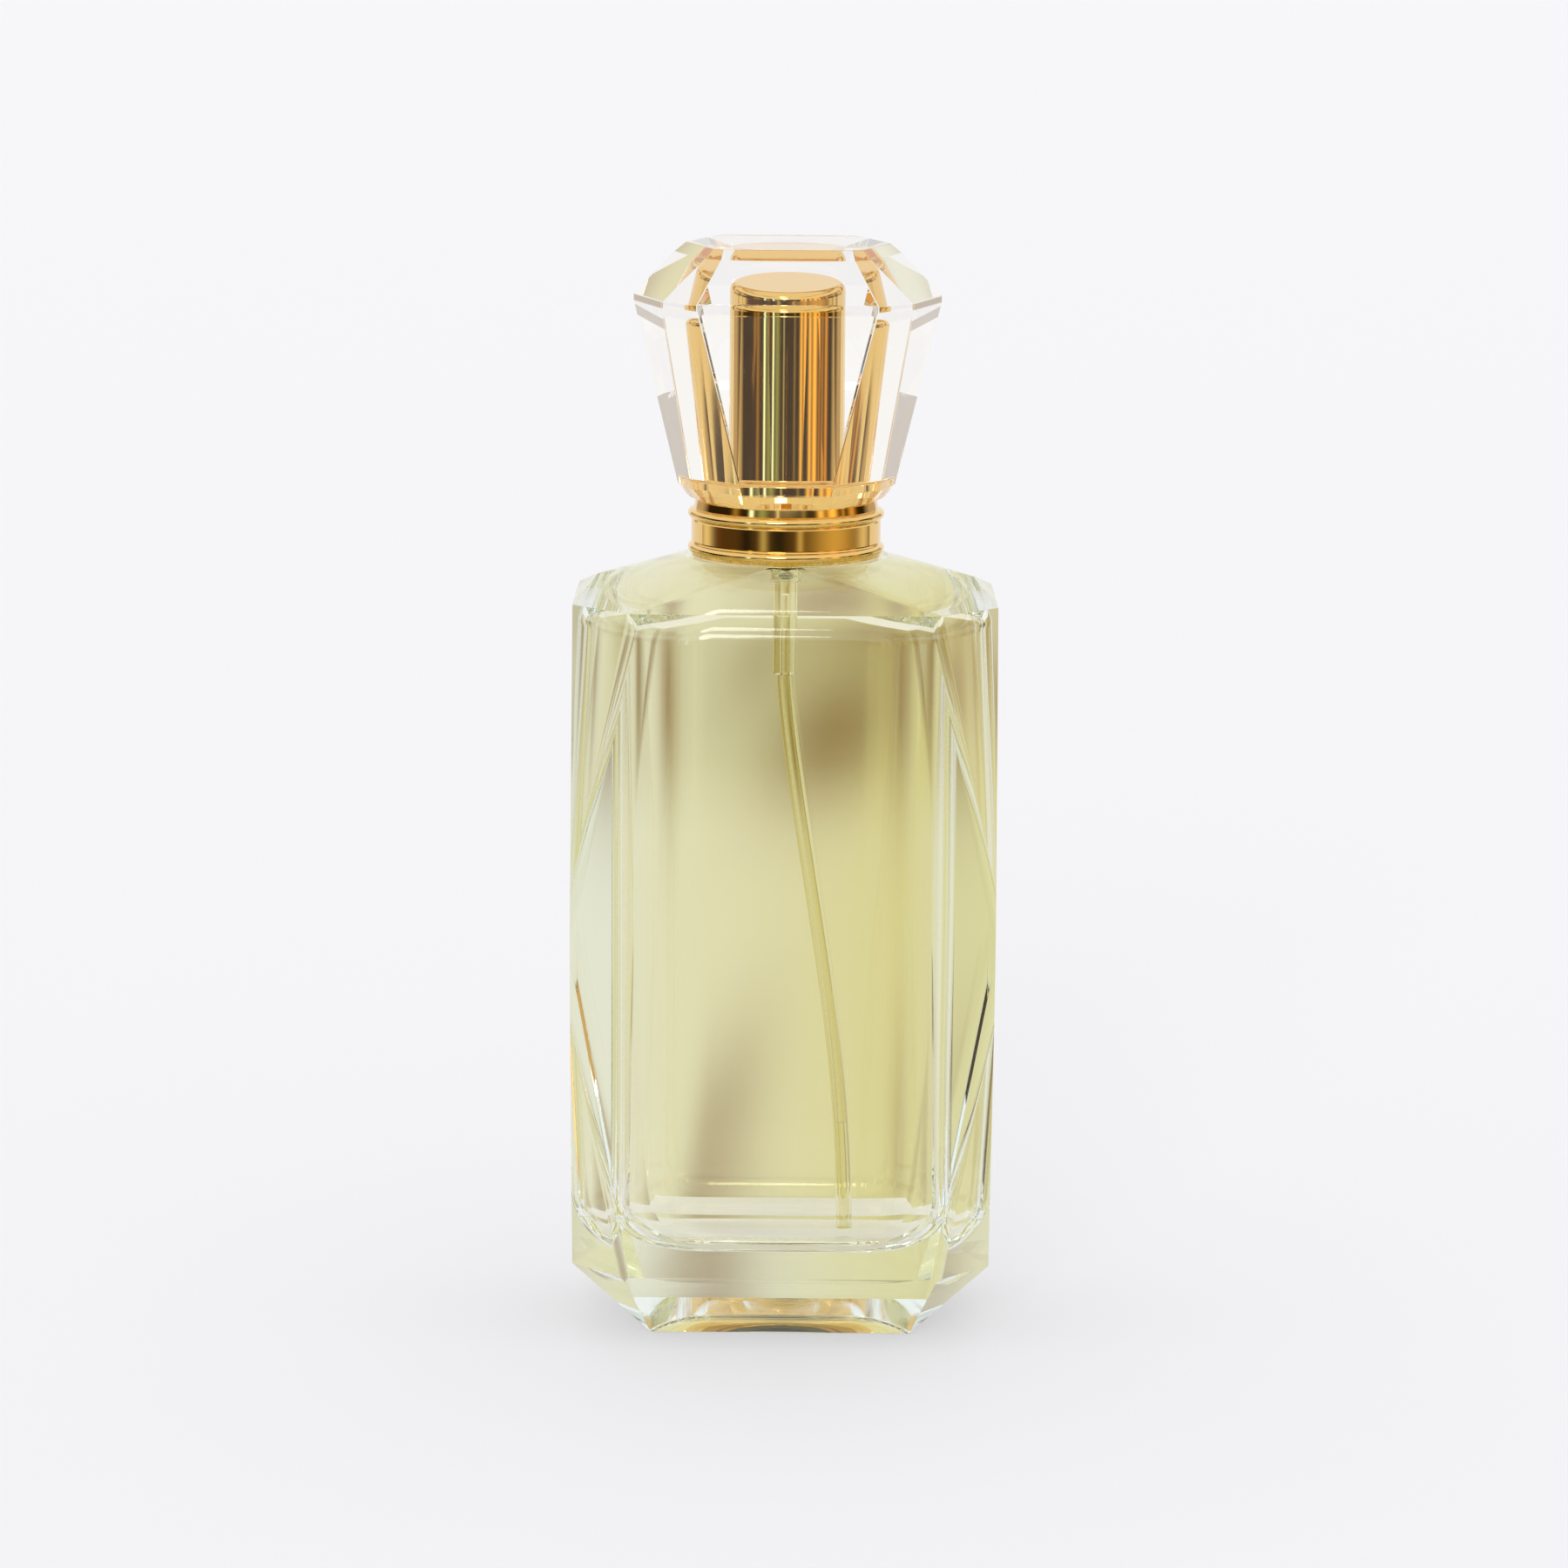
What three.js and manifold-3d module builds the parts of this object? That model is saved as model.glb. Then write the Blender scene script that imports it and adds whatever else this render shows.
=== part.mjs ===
// A 50 ml crimp-pump perfume bottle, in millimetres, +Z up, front towards -Y.
// Origin: the middle of the foot, on the surface that the bottle stands on.
import * as THREE from 'three';
import { ConvexGeometry } from 'three/addons/geometries/ConvexGeometry.js';
import { mergeVertices } from 'three/addons/utils/BufferGeometryUtils.js';
import Module from 'manifold-3d';

const wasm = await Module();
wasm.setup();

// ---- Driving dimensions -------------------------------------------------------------------

const CLEARANCE = 0.05;          // between pieces that seat on each other
const RUNNING_FIT = 0.06;        // radial, between a sliding piece and its bore
const CUT_GAP = 0.3;             // between the perfume and the pieces that stand in it
const ROUND = 40;                // sides of a turned piece
const SMALL_ROUND = 24;          // sides of a small turned piece

// Flacon, outside
const BODY_WIDTH = 43;
const BODY_DEPTH = 29;
const FOOT_WIDTH = 26.8;
const FOOT_DEPTH = 17.5;
const BASE_BEVEL_TOP = 7.4;      // height where the base bevel meets the walls
const SHOULDER_HEIGHT = 76;      // height of the shoulder's edge
const UPPER_CHAMFER = 6.2;       // leg of the corner facet at the shoulder's edge
const UPPER_FACET_TIP = 45;      // height where the upper corner facet runs out
const LOWER_CHAMFER = 5.4;       // leg of the corner facet at the base bevel
const LOWER_FACET_TIP = 37;
const SHOULDER_ROLL_IN = 2.2;    // steep band above the shoulder's edge, on the sides
const SHOULDER_ROLL_UP = 2.0;
const SHOULDER_SLOPE = 15;       // degrees, side facets above the steep band
const CORNER_SLOPE = 15.7;       // degrees, corner facets of the shoulder
const FRONT_SLOPE = 47;          // degrees, front and back facets of the shoulder
const LAND_RISE = 4.2;           // flat seat round the neck, above the shoulder's edge
const LAND_MARGIN = 0.45;        // of that seat, round the collar
const PUSH_UP = 0.8;             // depth of the dish under the foot
const FOOT_RIM = 3;              // width of the standing rim round that dish

// Flacon, inside
const SIDE_WALL = 3.9;
const FRONT_WALL = 3.6;
const FLOOR_HEIGHT = 8.8;
const CAVITY_CORNER = 10;        // radius of the cavity's upright corners
const FLOOR_ROUNDING = 5;
const CAVITY_DROP = 3.5;         // below the shoulder's edge, where the cavity starts to close
const CAVITY_RISE = 5.7;         // height over which it closes to the neck's bore
const FILL_DROP = 0.2;           // of the perfume's level below the cavity's top

// Neck finish
const NECK_BORE_RADIUS = 4.8;
const NECK_WALL = 1.7;
const NECK_LENGTH = 5.2;         // above the land
const NECK_BEAD = 0.85;          // how far the bead stands out
const NECK_BEAD_HEIGHT = 2.5;

// Pump
const GASKET_THICKNESS = 0.9;
const FLANGE_THICKNESS = 0.7;
const FERRULE_WALL = 0.35;
const CHAMBER_WALL = 0.8;
const CHAMBER_RADIUS = 2.5;      // bore in which the piston slides
const CHAMBER_DEPTH = 6.0;       // of its floor below the neck's top
const TURRET_RISE = 4.2;         // of the housing's top above the neck's top
const STEM_RADIUS = 1.35;
const STEM_BORE_RADIUS = 0.5;
const STROKE = 3.2;
const BALL_RADIUS = 0.75;
const BALL_LIFT = 0.6;
const SEAT_DROP = 3.4;           // of the ball's chamber below the cylinder's floor
const BULB_RADIUS = 1.6;
const INLET_RADIUS = 0.45;
const SOCKET_RADIUS = 1.24;
const SOCKET_LENGTH = 7.6;
const SOCKET_DEPTH = 5.4;
const TUBE_RADIUS = 0.83;
const TUBE_BORE_RADIUS = 0.44;
const TUBE_TIP_GAP = 0.8;        // above the floor of the flacon
const TUBE_REACH = 6.6;          // sideways bend of the tube's tip
const SPRING_WIRE = 0.2;
const SPRING_TURNS = 3;

// Actuator
const SKIRT_WALL = 0.45;         // of the actuator's skirt, which passes round the turret
const ACTUATOR_HEIGHT = 7.8;
const ACTUATOR_SHELL_WALL = 0.3;
const PRESSED_GAP = 1.9;         // above the ferrule when the actuator is pressed
const PRESSED_ROOM = 0.4;        // over the stem guide when the actuator is pressed
const STEM_GRIP = 3.6;           // length of the stem inside the actuator
const NOZZLE_RISE = 4.8;         // above the actuator's bottom
const NOZZLE_RADIUS = 1.5;
const NOZZLE_DEPTH = 2.0;
const ORIFICE_RADIUS = 0.25;

// Decorative collar
const COLLAR_WIDTH = 2.3;        // round the ferrule
const COLLAR_GROOVE = 0.35;      // depth of the flat band between the beads
const COLLAR_HEIGHT = 5.7;

// Cap
const GIRDLE_TRIM = 0.12;        // taken off the girdle's sharp edge
const SLEEVE_ROOM = 1.35;        // between the actuator and the sleeve's outside
const SLEEVE_HEIGHT = 20.3;
const SLEEVE_WALL = 0.35;
const SKIRT_INSET = 1.05;        // of the sleeve's wide foot inside the collar's radius
const SKIRT_HEIGHT = 2.6;
const SLEEVE_EDGE = 0.8;         // rounding of the sleeve's top edge
const LINER_RIBS = 8;
const RIB_WIDTH = 0.8;
const RIB_HEIGHT = 0.25;

// The cap is a ten-sided gem. Each facet family has an azimuth, and a distance beyond the
// sleeve's foot at every level: bottom, bevel, girdle, step and table.
const CAP_RISES = [0, 1.4, 20.6, 25.05, 26];
const CAP_FACETS = [
  { azimuths: [90, 270], distances: [0.75, 2.0, 5.0, 2.8, 1.2] },
  { azimuths: [40, 140, 220, 320], distances: [0.5, 1.45, 6.95, 3.7, 2.5] },
  { azimuths: [18, 162, 198, 342], distances: [0.4, 1.55, 6.0, 1.95, 0.85] },
];

// ---- Sizes that several pieces share ------------------------------------------------------

const landHeight = SHOULDER_HEIGHT + LAND_RISE;
const cavityShoulder = SHOULDER_HEIGHT - CAVITY_DROP;
const cavityTop = cavityShoulder + CAVITY_RISE;
const fillHeight = cavityTop - FILL_DROP;
const neckTop = landHeight + NECK_LENGTH;
const neckShaftRadius = NECK_BORE_RADIUS + NECK_WALL;
const neckBeadRadius = neckShaftRadius + NECK_BEAD;
const neckBeadBottom = neckTop - NECK_BEAD_HEIGHT;

const gasketTop = neckTop + CLEARANCE + GASKET_THICKNESS;
const flangeBottom = gasketTop + CLEARANCE;
const flangeTop = flangeBottom + FLANGE_THICKNESS;
const ferruleInner = neckBeadRadius + CLEARANCE;
const ferruleOuter = ferruleInner + FERRULE_WALL;
const ferruleTop = flangeTop + CLEARANCE + FERRULE_WALL;
const chamberOuter = CHAMBER_RADIUS + CHAMBER_WALL;
const chamberFloor = neckTop - CHAMBER_DEPTH;
const turretTop = neckTop + TURRET_RISE;
const guideTop = turretTop + 0.8;
const seatHeight = chamberFloor - SEAT_DROP;
const socketBottom = seatHeight - SOCKET_LENGTH;

const skirtInner = chamberOuter + 0.35;
const coreRadius = skirtInner + SKIRT_WALL;
const actuatorRadius = coreRadius + CLEARANCE + ACTUATOR_SHELL_WALL;
const actuatorBottom = ferruleTop + STROKE + PRESSED_GAP;
const actuatorTop = actuatorBottom + ACTUATOR_HEIGHT;
const nozzleHeight = actuatorBottom + NOZZLE_RISE;

const collarRadius = ferruleOuter + COLLAR_WIDTH;
const landRadius = collarRadius + LAND_MARGIN;
const collarBottom = landHeight + CLEARANCE;
const collarTop = collarBottom + COLLAR_HEIGHT;
const capBottom = collarTop + CLEARANCE;
const sleeveRadius = actuatorRadius + SLEEVE_ROOM;
const sleeveTop = capBottom + SLEEVE_HEIGHT;
const skirtRadius = collarRadius - SKIRT_INSET;
const skirtTop = capBottom + SKIRT_HEIGHT;

// ---- Solids -------------------------------------------------------------------------------

function toSolid(geometry) {
  const bare = geometry.clone();
  bare.deleteAttribute('normal');
  bare.deleteAttribute('uv');
  const merged = mergeVertices(bare, 1e-5);
  const vertProperties = new Float32Array(merged.attributes.position.array);
  const triVerts = new Uint32Array(merged.index.array);
  return new wasm.Manifold(new wasm.Mesh({ numProp: 3, vertProperties, triVerts }));
}

function toGeometry(solid) {
  const mesh = solid.getMesh();
  const geometry = new THREE.BufferGeometry();
  geometry.setAttribute('position', new THREE.BufferAttribute(mesh.vertProperties, 3));
  geometry.setIndex(new THREE.BufferAttribute(mesh.triVerts, 1));
  geometry.computeVertexNormals();
  return geometry;
}

const radians = THREE.MathUtils.degToRad;

// A solid turned about Z. The outline is [radius, height] pairs, counter-clockwise.
function turned(outline, sides = ROUND) {
  const first = outline[0];
  const last = outline[outline.length - 1];
  const closed = first[0] === 0 && last[0] === 0 ? outline : [...outline, first];
  const points = closed.map(([radius, height]) => new THREE.Vector2(radius, height));
  return toSolid(new THREE.LatheGeometry(points, sides).rotateX(Math.PI / 2));
}

function disc(radius, bottom, top, sides = ROUND) {
  return turned([[0, bottom], [radius, bottom], [radius, top], [0, top]], sides);
}

function ring(inner, outer, bottom, top, sides = ROUND) {
  return turned([[inner, bottom], [outer, bottom], [outer, top], [inner, top]], sides);
}

// Points of a quarter circle in a [radius, height] outline, from one angle to another.
function arc(centreRadius, centreHeight, size, from, to, steps = 4) {
  const points = [];
  for (let i = 0; i <= steps; i += 1) {
    const angle = radians(from + (to - from) * i / steps);
    points.push([centreRadius + size * Math.cos(angle), centreHeight + size * Math.sin(angle)]);
  }
  return points;
}

// A half space is a unit normal and the distance of its face from the origin.
function planeThrough(a, b, c, inside) {
  const normal = b.clone().sub(a).cross(c.clone().sub(a)).normalize();
  const distance = normal.dot(a);
  return normal.dot(inside) < distance ? { normal, distance }
    : { normal: normal.negate(), distance: -distance };
}

// A facet facing an azimuth, through a radius and height at its lower and its upper edge.
function facet(azimuth, lowRadius, lowHeight, highRadius, highHeight) {
  const angle = radians(azimuth);
  const rise = highHeight - lowHeight;
  const inward = lowRadius - highRadius;
  const normal = new THREE.Vector3(Math.cos(angle) * rise, Math.sin(angle) * rise, inward).normalize();
  const point = new THREE.Vector3(
    Math.cos(angle) * lowRadius, Math.sin(angle) * lowRadius, lowHeight);
  return { normal, distance: normal.dot(point) };
}

function level(height, up) {
  return { normal: new THREE.Vector3(0, 0, up), distance: up * height };
}

// The convex solid that a set of half spaces encloses.
function polytope(planes) {
  const corners = new Map();
  const slack = 1e-6;
  for (let i = 0; i < planes.length; i += 1) {
    for (let j = i + 1; j < planes.length; j += 1) {
      for (let k = j + 1; k < planes.length; k += 1) {
        const [a, b, c] = [planes[i], planes[j], planes[k]];
        const bc = b.normal.clone().cross(c.normal);
        const volume = a.normal.dot(bc);
        if (Math.abs(volume) < 1e-6) continue;
        const point = bc.multiplyScalar(a.distance)
          .add(c.normal.clone().cross(a.normal).multiplyScalar(b.distance))
          .add(a.normal.clone().cross(b.normal).multiplyScalar(c.distance))
          .divideScalar(volume);
        if (planes.every((plane) => plane.normal.dot(point) < plane.distance + slack)) {
          corners.set(point.toArray().map((value) => value.toFixed(3)).join(), point);
        }
      }
    }
  }
  return toSolid(new ConvexGeometry([...corners.values()]));
}

function roundedRectangle(halfWidth, halfDepth, corner, height, steps = 5) {
  const points = [];
  for (let quarter = 0; quarter < 4; quarter += 1) {
    const x = (quarter === 0 || quarter === 3 ? 1 : -1) * (halfWidth - corner);
    const y = (quarter < 2 ? 1 : -1) * (halfDepth - corner);
    for (let i = 0; i <= steps; i += 1) {
      const angle = radians(90 * (quarter + i / steps));
      points.push(new THREE.Vector3(x + corner * Math.cos(angle), y + corner * Math.sin(angle), height));
    }
  }
  return points;
}

// A round bar along a curve.
function rod(curve, radius, sides, steps) {
  const section = new THREE.Shape();
  for (let i = 0; i < sides; i += 1) {
    const angle = 2 * Math.PI * i / sides;
    section[i ? 'lineTo' : 'moveTo'](radius * Math.cos(angle), radius * Math.sin(angle));
  }
  section.closePath();
  return toSolid(new THREE.ExtrudeGeometry(section, { steps, extrudePath: curve, curveSegments: sides }));
}

// ---- Finishes -----------------------------------------------------------------------------

const finish = (color, roughness, metalness, opacity = 1) => () => new THREE.MeshStandardMaterial({
  color, roughness, metalness, opacity, transparent: opacity < 1,
});
const clearGlass = finish(0xeff3ee, 0.04, 0, 0.35);
const clearAcrylic = finish(0xf6f3ee, 0.05, 0, 0.35);
const yellowPerfume = finish(0xdcd79a, 0.02, 0, 0.5);
const gold = finish(0xd9a648, 0.14, 1);
const clearPlastic = finish(0xf1f1ea, 0.3, 0, 0.6);
const whitePlastic = finish(0xf2f1ec, 0.45, 0);
const blackRubber = finish(0x2c2c2e, 0.8, 0);
const steel = finish(0xb9bbbd, 0.25, 1);

const bottle = new THREE.Group();

function addPiece(name, solid, makeMaterial) {
  const mesh = new THREE.Mesh(toGeometry(solid), makeMaterial());
  mesh.name = name;
  bottle.add(mesh);
}

// ---- Flacon -------------------------------------------------------------------------------

const halfWidth = BODY_WIDTH / 2;
const halfDepth = BODY_DEPTH / 2;
const bodyCentre = new THREE.Vector3(0, 0, SHOULDER_HEIGHT / 2);

// One corner facet of the flacon, in the quadrant given by the two signs: it is a chamfer's
// leg wide at one height and runs out, or reaches another corner, at another height.
function cornerFacet(signX, signY, leg, height, endWidth, endDepth, endHeight) {
  return planeThrough(
    new THREE.Vector3(signX * (halfWidth - leg), signY * halfDepth, height),
    new THREE.Vector3(signX * halfWidth, signY * (halfDepth - leg), height),
    new THREE.Vector3(signX * endWidth, signY * endDepth, endHeight),
    bodyCentre,
  );
}

function slopeFrom(azimuth, radius, height, degrees) {
  return facet(azimuth, radius, height, radius - 1, height + Math.tan(radians(degrees)));
}

function flaconPlanes() {
  const planes = [level(0, -1), level(landHeight, 1)];
  const rolledWidth = halfWidth - SHOULDER_ROLL_IN;
  const rolledHeight = SHOULDER_HEIGHT + SHOULDER_ROLL_UP;
  for (const azimuth of [0, 180]) {
    planes.push(facet(azimuth, halfWidth, 0, halfWidth, SHOULDER_HEIGHT));
    planes.push(facet(azimuth, FOOT_WIDTH / 2, 0, halfWidth, BASE_BEVEL_TOP));
    planes.push(facet(azimuth, halfWidth, SHOULDER_HEIGHT, rolledWidth, rolledHeight));
    planes.push(slopeFrom(azimuth, rolledWidth, rolledHeight, SHOULDER_SLOPE));
  }
  for (const azimuth of [90, 270]) {
    planes.push(facet(azimuth, halfDepth, 0, halfDepth, SHOULDER_HEIGHT));
    planes.push(facet(azimuth, FOOT_DEPTH / 2, 0, halfDepth, BASE_BEVEL_TOP));
    planes.push(slopeFrom(azimuth, halfDepth, SHOULDER_HEIGHT, FRONT_SLOPE));
  }
  const cornerRadius = (halfWidth + halfDepth - UPPER_CHAMFER) / Math.SQRT2;
  for (const signX of [1, -1]) {
    for (const signY of [1, -1]) {
      planes.push(cornerFacet(signX, signY, UPPER_CHAMFER, SHOULDER_HEIGHT,
        halfWidth, halfDepth, UPPER_FACET_TIP));
      planes.push(cornerFacet(signX, signY, LOWER_CHAMFER, BASE_BEVEL_TOP,
        halfWidth, halfDepth, LOWER_FACET_TIP));
      planes.push(cornerFacet(signX, signY, LOWER_CHAMFER, BASE_BEVEL_TOP,
        FOOT_WIDTH / 2, FOOT_DEPTH / 2, 0));
      const azimuth = THREE.MathUtils.radToDeg(Math.atan2(signY, signX));
      planes.push(slopeFrom(azimuth, cornerRadius, SHOULDER_HEIGHT, CORNER_SLOPE));
    }
  }
  return planes;
}

// The cavity's shape, drawn in by a gap for the perfume that fills it.
function cavity(gap) {
  const width = halfWidth - SIDE_WALL - gap;
  const depth = halfDepth - FRONT_WALL - gap;
  const floor = FLOOR_HEIGHT + gap;
  const rings = [];
  for (const [reach, rise] of arc(0, 0, FLOOR_ROUNDING, -90, 0, 4)) {
    const inset = FLOOR_ROUNDING - reach;
    rings.push(...roundedRectangle(
      width - inset, depth - inset, CAVITY_CORNER - inset, floor + FLOOR_ROUNDING + rise));
  }
  rings.push(...roundedRectangle(width, depth, CAVITY_CORNER, cavityShoulder - gap));
    const neck = NECK_BORE_RADIUS + CLEARANCE;
  for (const share of [0.35, 0.65, 0.88, 1]) {
    const blend = 1 - Math.sqrt(1 - share ** 2);
    const height = cavityShoulder - gap + CAVITY_RISE * share;
    const ringWidth = width + (neck - width) * blend;
    const ringDepth = depth + (neck - depth) * blend;
    rings.push(...roundedRectangle(ringWidth, ringDepth, Math.min(CAVITY_CORNER, ringDepth), height));
  }
  return toSolid(new ConvexGeometry(rings));
}

function neckFinish() {
  const beadEdge = 0.6;
  return turned([
    [0, SHOULDER_HEIGHT], [landRadius, SHOULDER_HEIGHT], [landRadius, landHeight],
    [neckShaftRadius, landHeight], [neckShaftRadius, neckBeadBottom],
    [neckBeadRadius, neckBeadBottom + beadEdge / 2], [neckBeadRadius, neckTop - beadEdge],
    ...arc(neckBeadRadius - beadEdge, neckTop - beadEdge, beadEdge, 30, 90, 2), [0, neckTop],
  ]);
}

function pushUp() {
  const dish = new THREE.SphereGeometry(1, 24, 12).rotateX(Math.PI / 2)
    .scale(FOOT_WIDTH / 2 - FOOT_RIM, FOOT_DEPTH / 2 - FOOT_RIM, PUSH_UP);
  return toSolid(dish);
}

const neckBore = disc(NECK_BORE_RADIUS, cavityTop - 3, neckTop + 1);
const flacon = polytope(flaconPlanes()).add(neckFinish())
  .subtract(cavity(0)).subtract(neckBore).subtract(pushUp());
addPiece('glass_bottle', flacon, clearGlass);

// ---- Dip tube -----------------------------------------------------------------------------

const tubeTop = socketBottom + SOCKET_DEPTH - CUT_GAP;
const tubeTip = FLOOR_HEIGHT + TUBE_TIP_GAP;
const tubeFall = socketBottom - tubeTip;

// Straight inside its socket, then a long natural bend to one side that eases out.
function tubeCurve() {
  const points = [
    new THREE.Vector3(0, 0, tubeTop),
    new THREE.Vector3(0, 0, socketBottom + SOCKET_DEPTH / 2),
  ];
  for (const share of [0, 0.15, 0.35, 0.6, 0.85, 1]) {
    const sideways = TUBE_REACH * Math.sin(share * Math.PI / 2) ** 1.35;
    points.push(new THREE.Vector3(sideways, 0, socketBottom - tubeFall * share));
  }
  return new THREE.CatmullRomCurve3(points);
}

const tubeSteps = 30;
const tubeBar = rod(tubeCurve(), TUBE_RADIUS, 12, tubeSteps);
const tubeBore = rod(tubeCurve(), TUBE_BORE_RADIUS, 12, tubeSteps);
const boreEnds = disc(TUBE_BORE_RADIUS, tubeTop - 1, tubeTop + 1, 12)
  .add(disc(TUBE_BORE_RADIUS, -1, 1, 12).translate([TUBE_REACH, 0, tubeTip]));
addPiece('dip_tube', tubeBar.subtract(tubeBore).subtract(boreEnds), clearPlastic);

// ---- Pump ---------------------------------------------------------------------------------

const ballChamberRadius = BALL_RADIUS + 0.3;
const ballChamberTop = seatHeight + 2 * BALL_RADIUS + BALL_LIFT + 0.35;
const seatRadius = INLET_RADIUS + 0.05;
const seatTop = seatHeight + ballChamberRadius - seatRadius;   // the seat is a 45 degree cone
const flangeRadius = neckBeadRadius - 0.75;
const ballCentre = seatHeight - seatRadius + (BALL_RADIUS + CLEARANCE) * Math.SQRT2;

// Housing: dip-tube socket, ball chamber, cylinder and the flange that the ferrule holds down.
function pumpHousing() {
  const outside = turned([
    [0, socketBottom], [SOCKET_RADIUS, socketBottom], [SOCKET_RADIUS, seatHeight - 1.2],
    [BULB_RADIUS, seatHeight - 0.1], [BULB_RADIUS, ballChamberTop],
    [chamberOuter, chamberFloor - CHAMBER_WALL + 0.3], [chamberOuter, flangeBottom],
    [flangeRadius, flangeBottom], [flangeRadius, flangeTop], [chamberOuter, flangeTop],
    [chamberOuter, turretTop], [0, turretTop],
  ]);
  const inside = turned([
    [0, seatHeight], [seatRadius, seatHeight], [ballChamberRadius, seatTop],
    [ballChamberRadius, ballChamberTop - 0.4], [INLET_RADIUS, ballChamberTop],
    [INLET_RADIUS, chamberFloor], [CHAMBER_RADIUS, chamberFloor],
    [CHAMBER_RADIUS, turretTop + 1], [0, turretTop + 1],
  ], SMALL_ROUND);
  const socket = disc(TUBE_RADIUS + CLEARANCE, socketBottom - 1, socketBottom + SOCKET_DEPTH, SMALL_ROUND);
  const inlet = disc(INLET_RADIUS, socketBottom + 1, seatHeight + 0.5, SMALL_ROUND);
  return outside.subtract(inside).subtract(socket).subtract(inlet);
}
addPiece('pump_housing', pumpHousing(), clearPlastic);

const ball = new THREE.SphereGeometry(BALL_RADIUS, 20, 12).rotateX(Math.PI / 2).translate(0, 0, ballCentre);
addPiece('inlet_ball', toSolid(ball), steel);

const gasketBore = chamberOuter + 0.2;
addPiece('neck_gasket',
  ring(gasketBore, neckBeadRadius - 0.35, neckTop + CLEARANCE, gasketTop), whitePlastic);

const guideBottom = turretTop - 2;
const pistonTop = guideBottom - CLEARANCE;
const pistonBottom = pistonTop - 1.9;
const stemBottom = pistonBottom - 0.5;
const stemTop = actuatorBottom + STEM_GRIP;
const stemShoulder = CHAMBER_RADIUS - 0.65;
const sealRadius = STEM_RADIUS + 0.75 * (CHAMBER_RADIUS - STEM_RADIUS);

addPiece('piston', turned([
  [STEM_RADIUS + CLEARANCE, pistonBottom], [CHAMBER_RADIUS - 0.5, pistonBottom + 0.4],
  [CHAMBER_RADIUS - RUNNING_FIT, pistonBottom], [CHAMBER_RADIUS - RUNNING_FIT, pistonBottom + 0.5],
  [CHAMBER_RADIUS - 0.35, pistonBottom + 0.9], [CHAMBER_RADIUS - 0.35, pistonTop - 0.6],
  [CHAMBER_RADIUS - RUNNING_FIT, pistonTop - 0.4], [CHAMBER_RADIUS - RUNNING_FIT, pistonTop],
  [STEM_RADIUS + CLEARANCE, pistonTop],
], SMALL_ROUND), whitePlastic);

// Stem: a tube, plugged at the bottom, with a cross port just above its shoulder.
function pumpStem() {
  const outside = turned([
    [0, stemBottom - 0.6], [stemShoulder - 0.3, stemBottom - 0.6], [stemShoulder, stemBottom - 0.3],
    [stemShoulder, pistonBottom - CLEARANCE - 0.1], [STEM_RADIUS, pistonBottom - CLEARANCE],
    [STEM_RADIUS, stemTop], [0, stemTop],
  ], SMALL_ROUND);
  const bore = disc(STEM_BORE_RADIUS, stemBottom + 0.2, stemTop + 1, SMALL_ROUND);
  const port = new THREE.CylinderGeometry(0.2, 0.2, 2 * STEM_RADIUS + 1, 8)
    .rotateZ(Math.PI / 2).translate(0, 0, pistonBottom + 0.4);
  return outside.subtract(bore).subtract(toSolid(port));
}
addPiece('pump_stem', pumpStem(), whitePlastic);

addPiece('stem_guide', turned([
  [STEM_RADIUS + RUNNING_FIT, guideBottom], [CHAMBER_RADIUS - CLEARANCE, guideBottom],
  [CHAMBER_RADIUS - CLEARANCE, turretTop + CLEARANCE], [chamberOuter, turretTop + CLEARANCE],
  [chamberOuter, guideTop], [sealRadius, guideTop],
  [sealRadius, turretTop - 0.6], [STEM_RADIUS + RUNNING_FIT, turretTop - 0.6],
], SMALL_ROUND), whitePlastic);

addPiece('stem_seal', ring(STEM_RADIUS + RUNNING_FIT, sealRadius - CLEARANCE,
  turretTop - 0.6 + CLEARANCE, turretTop + 0.6, SMALL_ROUND), blackRubber);

// Return spring, between the floor of the cylinder and the stem's shoulder.
function springCurve(bottom, top) {
  const points = [];
  const perTurn = 12;
  for (let i = 0; i <= SPRING_TURNS * perTurn; i += 1) {
    const angle = 2 * Math.PI * i / perTurn;
    const height = bottom + (top - bottom) * i / (SPRING_TURNS * perTurn);
    points.push(new THREE.Vector3(springRadius * Math.cos(angle), springRadius * Math.sin(angle), height));
  }
  return new THREE.CatmullRomCurve3(points);
}
const springRadius = stemShoulder;
const springBottom = chamberFloor + SPRING_WIRE + CLEARANCE;
const springTop = stemBottom - 0.6 - SPRING_WIRE - CLEARANCE;
addPiece('return_spring', rod(springCurve(springBottom, springTop), SPRING_WIRE, 6, 60), steel);

// ---- Ferrule and collar -------------------------------------------------------------------

const ferruleHole = chamberOuter + 0.25;
const crimpTop = neckBeadBottom - CLEARANCE;
addPiece('crimp_ferrule', turned([
  [neckShaftRadius + 0.15, crimpTop - FERRULE_WALL], [ferruleOuter - 0.2, crimpTop - FERRULE_WALL],
  [ferruleOuter, crimpTop], [ferruleOuter, ferruleTop - 0.3], [ferruleOuter - 0.3, ferruleTop],
  [ferruleHole, ferruleTop], [ferruleHole, flangeTop + CLEARANCE], [ferruleInner, flangeTop + CLEARANCE],
  [ferruleInner, crimpTop], [neckShaftRadius + 0.15, crimpTop],
]), gold);

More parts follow.
